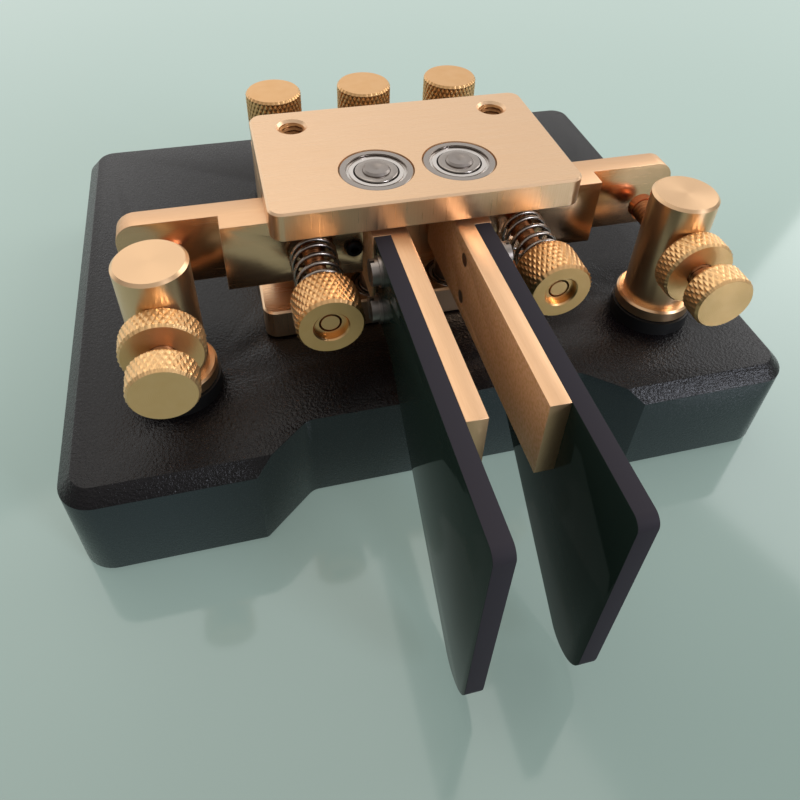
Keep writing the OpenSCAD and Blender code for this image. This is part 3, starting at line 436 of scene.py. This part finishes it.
# a thread starts this far under the plate's top and this deep in the hole's wall
thread_down, thread_lap = 0.4, 0.04
plate_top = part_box("top_plate")[1].z
screw_low, screw_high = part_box("frame_screws")
screw_head_r = 3.5
for side, x in (("left", screw_low.x + screw_head_r * mm), ("right", screw_high.x - screw_head_r * mm)):
    tapped_length = (plate_top - screw_high.z) / mm - thread_down
    y = (screw_low.y + screw_high.y) / 2
    wall_r, crest_r = hole_r + thread_lap, hole_r - thread_depth
    outline = [(wall_r, 0), (crest_r, 0), (crest_r, tapped_length), (wall_r, tapped_length)]
    thread = turned(side + "_tapped_hole", outline, 48, band=(1, 2, 0.08), closed=True)
    cut(thread, Matrix.Translation((x, y, screw_high.z)), tapped, 1, tap_pitch, -thread_depth, sharp=50)
    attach(thread, "frame")

# ---------------------------------------------------------------- ball bearings
# Shielded miniature bearings: ground steel rings, pressed shields, balls inside.
# Grinding leaves the rings near mirror-bright under a thin film of oil; the shields are duller.
ground = clouded(surface("ground_bearing_steel", "#A39A93", 1, 0.2), 0.6, 0.12, 0.34, 4.0)
dress(ground, "bearing_outer_rings", "bearing_balls")
ring_edge = 0.2 * mm
for side in ("left", "right"):
    rings = softened(side + "_ground_inner_rings", [side + "_inner_rings"], ring_edge, ground,
                     side + "_lever")

# pressed from bright strip, paler than the rings and a little cloudy
pressed = clouded(surface("pressed_shield_steel", "#D6CFC9", 1, 0.3), 0.35, 0.22, 0.4)
shield_t, shield_sink, shield_play = 0.3, 0.25, 0.2
# outer radius and width of the lower bearing and of the upper one
lower_r, lower_w, upper_r, upper_w = 4.0, 3.0, 5.5, 4.0
# where the balls run between bore and rim, how large they are, and where the rings' lands end
ball_way, ball_share, inner_land, outer_land = 0.52, 0.21, 0.93, 0.87
# in from the rim: the disc's edge, and the inner and outer edge of the spring ring that holds it
disc_in, spring_in, spring_out, slope = 0.53, 0.31, 0.17, 0.01
groove_z, spring_z = 0.03, 0.2
shields = bmesh.new()
for side in ("left", "right"):
    pin_low, pin_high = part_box(side + "_pivot_pin")
    ring_low, ring_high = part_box(side + "_inner_rings")
    pin_r = (pin_high.x - pin_low.x) / 2 / mm
    for outer_r, width, level in ((lower_r, lower_w, ring_low.z / mm),
                                  (upper_r, upper_w, ring_high.z / mm - upper_w)):
        ball_ring, ball_r = pin_r + (outer_r - pin_r) * ball_way, (outer_r - pin_r) * ball_share
        bore, rim = ball_ring - ball_r * inner_land + shield_play, ball_ring + ball_r * outer_land
        # a flat disc, then the groove in which a thin spring ring holds it
        outline = [(bore, 0), (bore, shield_t), (rim - disc_in - slope, shield_t),
                   (rim - disc_in + slope, groove_z), (rim - spring_in - slope, groove_z),
                   (rim - spring_in + slope, spring_z), (rim - spring_out - slope, spring_z),
                   (rim - spring_out + slope, groove_z), (rim, groove_z), (rim, 0)]
        for up_way in (1, -1):
            disc = turned("shield_disc", outline, 64, closed=True)
            height = level + width / 2 + up_way * (width / 2 - shield_sink - shield_t)
            x, y = (pin_low.x + pin_high.x) / 2, (pin_low.y + pin_high.y) / 2
            place = Matrix.Translation((x, y, height * mm))
            if up_way < 0:
                place = place @ Matrix.Rotation(math.pi, 4, "X")
            disc.data.transform(place)
            shields.from_mesh(disc.data)
            bpy.data.objects.remove(disc)
shield_mesh = bpy.data.meshes.new("shield_discs")
shields.to_mesh(shield_mesh)
shields.free()
shield_mesh.shade_smooth()
shield_mesh.set_sharp_from_angle(angle=math.radians(30))
shield_mesh.materials.append(pressed)
shield_discs = bpy.data.objects.new("shield_discs", shield_mesh)
bpy.context.scene.collection.objects.link(shield_discs)
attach(shield_discs, "frame")
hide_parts("bearing_shields")

# ---------------------------------------------------------------- pivot pins and spacers
# Ground steel dowels with chamfered ends and a lathe centre in each, pressed through the levers.
# Their ends are left as cut, a cloudy grey.
dull = clouded(surface("ground_dowel_steel", "#968D87", 1, 0.34), 0.3, 0.26, 0.5, 4.0)
dress(dull, "left_spacers", "right_spacers")
for side in ("left", "right"):
    low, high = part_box(side + "_pivot_pin")
    radius, length = (high.x - low.x) / 2 / mm, (high.z - low.z) / mm
    centre_r, centre_deep, edge = 0.75, 0.35, 0.3
    outline = [(0, centre_deep), (centre_r, 0), (radius - edge, 0), (radius, edge), (radius, length - edge),
               (radius - edge, length), (centre_r, length), (0, length - centre_deep)]
    pin = turned(side + "_dowel", outline, 48)
    cut(pin, Matrix.Translation(((low.x + high.x) / 2, (low.y + high.y) / 2, low.z)), dull)
    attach(pin, side + "_lever")
    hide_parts(side + "_pivot_pin")

# ---------------------------------------------------------------- levers
# L-shaped levers milled from brass bar, their faces brushed lightly after milling.
# The mill leaves fine cross lines; the edges are only just broken.
milled_code, milled_deep_code = "#E6BE98", "#DCB188"
milled, tree, shader = surface("milled_brass", milled_code, 1, 0.38)
where = add(tree, "ShaderNodeTexCoord").outputs["Object"]
# the lines run along each leg: along Y on the bars, along X on the arms, the rear 10 mm
arms_deep = 10 * mm
bar_end_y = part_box("left_lever")[1].y - arms_deep
# mill lines are about 0.05 mm wide; drawn 0.1 mm wide so that they show
fine_mm, long_mm = 0.1, 4.0
legs = []
for scale in ((1 / fine_mm, 1 / long_mm, 1 / fine_mm), (1 / long_mm, 1 / fine_mm, 1 / fine_mm)):
    stretched = add(tree, "ShaderNodeMapping", {"Vector": where, "Scale": [c / mm for c in scale]})
    legs.append(add(tree, "ShaderNodeTexNoise", {"Vector": stretched.outputs[0], "Scale": 1.0,
                                                 "Detail": 3.0}))
depth = add(tree, "ShaderNodeSeparateXYZ", {"Vector": where}).outputs["Y"]
behind = add(tree, "ShaderNodeMath", {0: depth, 1: bar_end_y}, operation="GREATER_THAN")
lines = add(tree, "ShaderNodeMix", {"Factor": behind.outputs[0], "A": legs[0].outputs["Fac"],
                                    "B": legs[1].outputs["Fac"]})
relief = add(tree, "ShaderNodeBump", {"Height": lines.outputs["Result"], "Strength": 0.2,
                                      "Distance": 0.02 * mm})
tree.links.new(relief.outputs[0], shader.inputs["Normal"])
# the sides keep the bar stock's dull skin, the tops are rubbed, the arms' fronts are cut bright
side_rough, front_rough, top_rough, sawn_more = 0.6, 0.22, 0.46, 0.2
side_metal = 0.5
facing = add(tree, "ShaderNodeNewGeometry").outputs["Normal"]
squared = add(tree, "ShaderNodeVectorMath", {0: facing, 1: facing}, operation="MULTIPLY").outputs[0]
rubbed = add(tree, "ShaderNodeVectorMath", {0: squared, 1: (side_rough, front_rough, top_rough)},
             operation="DOT_PRODUCT")
shine = add(tree, "ShaderNodeMapRange", {"Value": lines.outputs["Result"], "From Min": 0.3, "From Max": 0.7,
                                         "To Min": -0.04, "To Max": 0.04})
finish = add(tree, "ShaderNodeMath", {0: rubbed.outputs["Value"], 1: shine.outputs[0]}, operation="ADD")
in_front = add(tree, "ShaderNodeMath", {0: 1.0, 1: behind.outputs[0]}, operation="SUBTRACT")
faces = add(tree, "ShaderNodeSeparateXYZ", {"Vector": squared}).outputs
bar_end = add(tree, "ShaderNodeMath", {0: faces["Y"], 1: in_front.outputs[0]}, operation="MULTIPLY")
sawn_end = add(tree, "ShaderNodeMath", {0: bar_end.outputs[0], 1: sawn_more, 2: finish.outputs[0]},
               operation="MULTIPLY_ADD")
tree.links.new(sawn_end.outputs[0], shader.inputs["Roughness"])
bare = add(tree, "ShaderNodeVectorMath", {0: squared, 1: (side_metal, 1.0, 1.0)}, operation="DOT_PRODUCT")
tree.links.new(bare.outputs["Value"], shader.inputs["Metallic"])
lined = add(tree, "ShaderNodeMix", {"Factor": lines.outputs["Result"], "A": linear(milled_code),
                                    "B": linear(milled_deep_code)}, data_type="RGBA")
# the dull skin is mottled in short grains about 0.5 mm across
grains = add(tree, "ShaderNodeTexNoise", {"Vector": where, "Scale": 1 / (0.5 * mm), "Detail": 5.0})
patchy = add(tree, "ShaderNodeMapRange", {"Value": grains.outputs["Fac"], "From Min": 0.42,
                                          "From Max": 0.62})
skin = add(tree, "ShaderNodeMath", {0: patchy.outputs[0], 1: faces["X"]}, operation="MULTIPLY")
tone = add(tree, "ShaderNodeMix", {"Factor": skin.outputs[0], "A": lined.outputs["Result"],
                                   "B": linear("#D2A672")}, data_type="RGBA")
tree.links.new(tone.outputs["Result"], shader.inputs["Base Color"])
broken_edge = 0.12 * mm
for side in ("left", "right"):
    lever = softened(side + "_milled_lever", [side + "_lever"], broken_edge, milled, side + "_lever")

# ---------------------------------------------------------------- finger pieces
# Blades cut from 2.4 mm black acrylic sheet: cast-smooth faces, sawn edges rubbed to a satin.
# Acrylic has an IOR of 1.49; here it is lower, to match the dark, dim mirror of these blades.
# painted reflection: the faces' dark green base colour stands in for the green-grey table they mirror; the
# rubbed edges keep a grey of their own
blade_painted_reflection_code, edge_code = "#202B26", "#363338"
acrylic, tree, shader = surface("black_acrylic", blade_painted_reflection_code, 0, 0.06, IOR=1.08)
where = add(tree, "ShaderNodeTexCoord").outputs["Object"]
facing = add(tree, "ShaderNodeNewGeometry").outputs["Normal"]
across = add(tree, "ShaderNodeSeparateXYZ", {"Vector": facing}).outputs["X"]
sideways = add(tree, "ShaderNodeMath", {0: across}, operation="ABSOLUTE")
rub = add(tree, "ShaderNodeTexNoise", {"Vector": where, "Scale": 1 / (0.4 * mm), "Detail": 3.0})
edge_shine = add(tree, "ShaderNodeMapRange", {"Value": sideways.outputs[0], "From Min": 0.2, "From Max": 0.8,
                                              "To Min": 0.5, "To Max": 0.05})
tree.links.new(edge_shine.outputs[0], shader.inputs["Roughness"])
face_share = add(tree, "ShaderNodeMapRange", {"Value": sideways.outputs[0], "From Min": 0.2,
                                              "From Max": 0.8})
edge_tone_and_painted_reflection = add(tree, "ShaderNodeMix", {"Factor": face_share.outputs[0], "A": linear(edge_code),
                                        "B": linear(blade_painted_reflection_code)}, data_type="RGBA")
tree.links.new(edge_tone_and_painted_reflection.outputs["Result"], shader.inputs["Base Color"])
relief = add(tree, "ShaderNodeBump", {"Height": rub.outputs["Fac"], "Strength": 0.08, "Distance": 0.02 * mm})
tree.links.new(relief.outputs[0], shader.inputs["Normal"])
rubbed_edge = 0.3 * mm
for side in ("left", "right"):
    blade = softened(side + "_blade", [side + "_fingerpiece"], rubbed_edge, acrylic, side + "_lever", 3)
dress(dull, "left_fingerpiece_screws", "right_fingerpiece_screws")

# ---------------------------------------------------------------- stop screws
# Hexagon socket set screws in black oxide steel, screwed through the arms against the rear block.
# The oxide gives a charcoal skin with an oily, patchy shine.
oxide = clouded(surface("black_oxide_steel", "#26262A", 1, 0.4), 0.3, 0.3, 0.55)
dress(oxide, "left_stop_screw", "right_stop_screw")

# ---------------------------------------------------------------- tension studs, springs and nuts
# Threaded brass studs, fixed in the rear block and free in the arms; steel coil springs; knurled
# brass nuts with a counterbored front, which set how hard each lever presses on its stop.
to_front = Matrix.Rotation(math.radians(90), 4, "X")
knurl_code, knurl_deep_code = "#E6B782", "#DDAA70"


def stained(finish, size_mm, code, deep_code):
    """Lets a finish's colour wander between two tones in stains that are size_mm across."""
    material, tree, shader = finish
    where = add(tree, "ShaderNodeTexCoord").outputs["Object"]
    stain = add(tree, "ShaderNodeTexNoise", {"Vector": where, "Scale": 1 / (size_mm * mm), "Detail": 2.0})
    tone = add(tree, "ShaderNodeMix", {"Factor": stain.outputs["Fac"], "A": linear(code),
                                       "B": linear(deep_code)}, data_type="RGBA")
    tree.links.new(tone.outputs["Result"], shader.inputs["Base Color"])
    return finish


# turned and knurled brass is bright, with faint broad stains from handling
rolled = clouded(stained(surface("turned_brass", knurl_code, 1, 0.32), 2.0, knurl_code, knurl_deep_code),
                 2.0, 0.28, 0.36, 2.0)

# threads cut with a die stay duller than the faced metal beside them; their darker brown base colour is
# painted shade, for threads that lie in shadow inside the springs and behind the contact heads
finish = surface("die_cut_brass", "#B97F55", 1, 0.36)
die_cut = clouded(finish, 0.4, 0.28, 0.48)
threaded = add(finish[1], "ShaderNodeAttribute", attribute_name="cut").outputs["Fac"]
tone = add(finish[1], "ShaderNodeMix", {"Factor": threaded, "A": linear(knurl_code),
                                        "B": linear("#A66F49")}, data_type="RGBA")
finish[1].links.new(tone.outputs["Result"], finish[2].inputs["Base Color"])

# drawn wire is bright under a thin oil
spring_steel = clouded(surface("drawn_spring_wire", "#9C938B", 1, 0.24), 0.5, 0.18, 0.4, 2.0)

# The winding tree sweeps the wire's round section along the coil.
winder = bpy.data.node_groups.new("wound_wire", "GeometryNodeTree")
for label, kind in (("Geometry", "NodeSocketGeometry"), ("Wire radius", "NodeSocketFloat"),
                    ("Finish", "NodeSocketMaterial")):
    winder.interface.new_socket(label, in_out="INPUT", socket_type=kind)
winder.interface.new_socket("Geometry", in_out="OUTPUT", socket_type="NodeSocketGeometry")
given = add(winder, "NodeGroupInput").outputs
section = add(winder, "GeometryNodeCurvePrimitiveCircle", {"Resolution": 14, "Radius": given["Wire radius"]})
swept = add(winder, "GeometryNodeCurveToMesh", {"Curve": given["Geometry"],
                                                "Profile Curve": section.outputs[0],
                                                "Fill Caps": True}).outputs[0]
whole = add(winder, "GeometryNodeRealizeInstances", {0: swept}).outputs[0]
coated = add(winder, "GeometryNodeSetMaterial", {"Geometry": whole, "Material": given["Finish"]}).outputs[0]
add(winder, "NodeGroupOutput", {0: coated})

# a spring: wire thickness, rise of each closed end curl, open curls, points for each curl
wire, end_rise, open_curls, per_curl = 0.64, 1.15, 3, 36
stud_pitch, stud_thread, stud_edge, stud_land = 0.5, 0.24, 0.25, 0.6
# ribs round a knurl, rise of a rib's whole turn, depth, and the rows and columns that draw a rib
knurl_pitch, knurl_rise, knurl_depth, knurl_steps = 0.85, 1.7, 0.17, 8
rounded_edge = 0.4


def knurled(name, outline, first, place, material, node, closed=True):
    """A turned piece with a diamond knurl between outline points first and first + 1, for one node."""
    radius = max(r for r, level in outline)
    starts = round(2 * math.pi * radius / knurl_pitch)
    piece = turned(name, outline, starts * knurl_steps, (first, first + 1, knurl_rise / knurl_steps), closed)
    cut(piece, place, material, starts, knurl_rise, knurl_depth, 1.0)
    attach(piece, node)
    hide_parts(node)


for side in ("left", "right"):
    low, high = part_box(side + "_tension_spring")
    x, z = (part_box(side + "_tension_nut")[0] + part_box(side + "_tension_nut")[1]).xz / 2
    fitted = (high.y - low.y) / mm
    coil_r = (high.z - low.z) / mm / 2 - wire / 2
    open_rise = fitted - 2 * wire - 2 * end_rise
    curls = open_curls + 2
    route = [(coil_r, 0, 0)]
    for i in range(curls * per_curl + 1):
        curl = i / per_curl
        if curl <= 1:
            rise = curl * end_rise
        elif curl <= curls - 1:
            rise = end_rise + (curl - 1) * open_rise / open_curls
        else:
            rise = end_rise + open_rise + (curl - curls + 1) * end_rise
        way = 2 * math.pi * curl
        route.append((coil_r * math.cos(way), -wire - rise, coil_r * math.sin(way)))
    route.append((coil_r, -fitted, 0))
    line = bpy.data.curves.new(side + "_coil_line", "CURVE")
    line.dimensions = "3D"
    spline = line.splines.new("POLY")
    spline.points.add(len(route) - 1)
    spline.points.foreach_set("co", np.array([(*(c * mm for c in p), 1) for p in route]).ravel())
    coil_line = bpy.data.objects.new(side + "_coil_line", line)
    bpy.context.scene.collection.objects.link(coil_line)
    winding = coil_line.modifiers.new("wind", "NODES")
    winding.node_group = winder
    wanted = {"Wire radius": wire / 2 * mm, "Finish": spring_steel}
    for item in winder.interface.items_tree:
        if item.in_out == "INPUT" and item.name in wanted:
            winding[item.identifier] = wanted[item.name]
    mesh = bpy.data.meshes.new_from_object(coil_line.evaluated_get(bpy.context.evaluated_depsgraph_get()))
    bpy.data.objects.remove(coil_line)
    mesh.transform(Matrix.Translation((x, high.y, z)))
    mesh.shade_smooth()
    mesh.set_sharp_from_angle(angle=math.radians(50))
    spring = bpy.data.objects.new(side + "_coil_spring", mesh)
    bpy.context.scene.collection.objects.link(spring)
    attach(spring, "frame")
    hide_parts(side + "_tension_spring")
    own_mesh(spring)

    low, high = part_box(side + "_tension_stud")
    radius, length = (high.x - low.x) / 2 / mm, (high.y - low.y) / mm
    outline = [(0, 0), (radius - stud_edge, 0), (radius, stud_edge), (radius, length - stud_land),
               (radius - stud_edge, length), (0, length)]
    stud = turned(side + "_threaded_stud", outline, 40, band=(2, 3, stud_pitch / 6))
    cut(stud, Matrix.Translation((x, high.y, z)) @ to_front, die_cut, 1, stud_pitch, stud_thread, sharp=50)
    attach(stud, "frame")
    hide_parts(side + "_tension_stud")

    low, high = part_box(side + "_tension_nut")
    radius, length = (high.x - low.x) / 2 / mm, (high.y - low.y) / mm
    bore_r, mouth_r, mouth_deep, mouth_edge = 1.55, 2.3, 0.9, 0.2
    outline = [(bore_r, 0), (radius - rounded_edge, 0), (radius, rounded_edge),
               (radius, length - rounded_edge), (radius - rounded_edge, length),
               (mouth_r + mouth_edge, length), (mouth_r, length - mouth_edge),
               (mouth_r, length - mouth_deep), (bore_r, length - mouth_deep)]
    knurled(side + "_knurled_tension_nut", outline, 2, Matrix.Translation((x, high.y, z)) @ to_front, rolled,
            side + "_tension_nut")

# ---------------------------------------------------------------- contact posts
# Pillars turned from brass rod with a flange at the foot, screwed down through their bushes.
# The tool leaves fine rings round them and on their tops.
# feed marks are about 0.08 mm apart; drawn 0.3 mm apart so that they show
post_feed_mm = 0.3
# a wave texture's rings lie this far apart, over its scale
wave_unit = 0.314
for side in ("left", "right"):
    low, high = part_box(side + "_contact_post")
    axis = ((low.x + high.x) / 2, (low.y + high.y) / 2, 0)
    finish = surface(side + "_lathed_brass", "#E8C096", 1, 0.3, Anisotropic=0.4, Anisotropic_Rotation=0.25)
    lathed = clouded(finish, 2.5, 0.28, 0.33, 2.0)
    tree, shader = finish[1:]
    where = add(tree, "ShaderNodeTexCoord").outputs["Object"]
    centred = add(tree, "ShaderNodeMapping", {"Vector": where, "Location": [-c for c in axis]})
    rings = add(tree, "ShaderNodeTexWave", {"Vector": centred.outputs[0],
                                            "Scale": wave_unit / (post_feed_mm * mm)},
                wave_type="RINGS", rings_direction="Z")
    relief = add(tree, "ShaderNodeBump", {"Height": rings.outputs["Fac"], "Strength": 0.05,
                                          "Distance": 0.02 * mm})
    tree.links.new(relief.outputs[0], shader.inputs["Normal"])
    dress(lathed, side + "_contact_post")

# ---------------------------------------------------------------- contact screws, tips and lock nuts
# Brass screws with a knurled head, M4 thread and a pressed-in copper alloy contact; the knurled
# nut locks each one against its post.
# the copper alloy is redder than the brass and polished where it meets the arm
copper = clouded(surface("contact_copper", "#D08E6C", 1, 0.2), 0.4, 0.12, 0.32)
dress(copper, "left_contact_tip", "right_contact_tip")

# the heads' ends are faced on the lathe: rings round the screw's axis fan its highlight out
faced_code, faced_deep_code = "#EEC28C", "#E5B57A"
finish = stained(surface("faced_brass", faced_code, 0.85, 0.34), 2.0, faced_code, faced_deep_code)
faced, tree, shader = finish
where = add(tree, "ShaderNodeTexCoord").outputs["Object"]
apart = add(tree, "ShaderNodeSeparateXYZ", {"Vector": where}).outputs
mirrored = add(tree, "ShaderNodeMath", {0: apart["X"]}, operation="ABSOLUTE").outputs[0]
head_low, head_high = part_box("right_contact_screw")
from_axis = add(tree, "ShaderNodeMapping", {
    "Vector": add(tree, "ShaderNodeCombineXYZ", {"X": mirrored, "Z": apart["Z"]}).outputs[0],
    "Location": (-(head_low.x + head_high.x) / 2, 0, -(head_low.z + head_high.z) / 2)})
# feed marks are about 0.08 mm apart; drawn 0.25 mm apart so that they show
face_feed_mm = 0.25
rings = add(tree, "ShaderNodeTexWave", {"Vector": from_axis.outputs[0],
                                        "Scale": wave_unit / (face_feed_mm * mm)},
            wave_type="RINGS", rings_direction="Y")
relief = add(tree, "ShaderNodeBump", {"Height": rings.outputs["Fac"], "Strength": 0.25,
                                      "Distance": 0.03 * mm})
tree.links.new(relief.outputs[0], shader.inputs["Normal"])
# head thickness; rod radius, pitch, depth of thread, and how far the rod stops short of the head
head_t, rod_r, rod_pitch, rod_thread, rod_short = 3.9, 1.95, 0.7, 0.3, 0.05
for side in ("left", "right"):
    low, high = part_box(side + "_contact_screw")
    x, z = (low.x + high.x) / 2, (low.z + high.z) / 2
    head_r, length = (high.x - low.x) / 2 / mm, (high.y - low.y) / mm
    rod_length = length - head_t
    outline = [(0, 0), (rod_r, 0), (rod_r, rod_length - rod_short), (0, rod_length - rod_short)]
    rod = turned(side + "_contact_rod", outline, 48, band=(1, 2, rod_pitch / 7))
    place = Matrix.Translation((x, high.y, z)) @ to_front
    cut(rod, place, die_cut, 1, rod_pitch, rod_thread, sharp=50)
    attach(rod, side + "_contact_screw")
    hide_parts(side + "_contact_screw")
    outline = [(0, rod_length), (head_r - rounded_edge, rod_length), (head_r, rod_length + rounded_edge),
               (head_r, length - rounded_edge), (head_r - rounded_edge, length), (0, length)]
    knurled(side + "_contact_head", outline, 2, place, faced, side + "_contact_screw", closed=False)

    low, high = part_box(side + "_lock_nut")
    radius, length, bore_r = (high.x - low.x) / 2 / mm, (high.y - low.y) / mm, 2.0
    outline = [(bore_r, 0), (radius - rounded_edge, 0), (radius, rounded_edge),
               (radius, length - rounded_edge), (radius - rounded_edge, length), (bore_r, length)]
    knurled(side + "_knurled_lock_nut", outline, 2, Matrix.Translation((x, high.y, z)) @ to_front, faced,
            side + "_lock_nut")

# ---------------------------------------------------------------- binding posts
# Three turned brass pillars with a cross hole for the wire; a knurled cap on a stud clamps it.
dress(rolled, "left_binding_post", "common_binding_post", "right_binding_post")
cap_bore_r, cap_bore_deep = 1.5, 4.9
for name in ("left", "common", "right"):
    low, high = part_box(name + "_binding_cap")
    radius, length = (high.x - low.x) / 2 / mm, (high.z - low.z) / mm
    outline = [(0, cap_bore_deep), (cap_bore_r, cap_bore_deep), (cap_bore_r, 0), (radius - rounded_edge, 0),
               (radius, rounded_edge), (radius, length - rounded_edge), (radius - rounded_edge, length),
               (0, length)]
    place = Matrix.Translation(((low.x + high.x) / 2, (low.y + high.y) / 2, low.z))
    knurled(name + "_knurled_cap", outline, 4, place, rolled, name + "_binding_cap", closed=False)
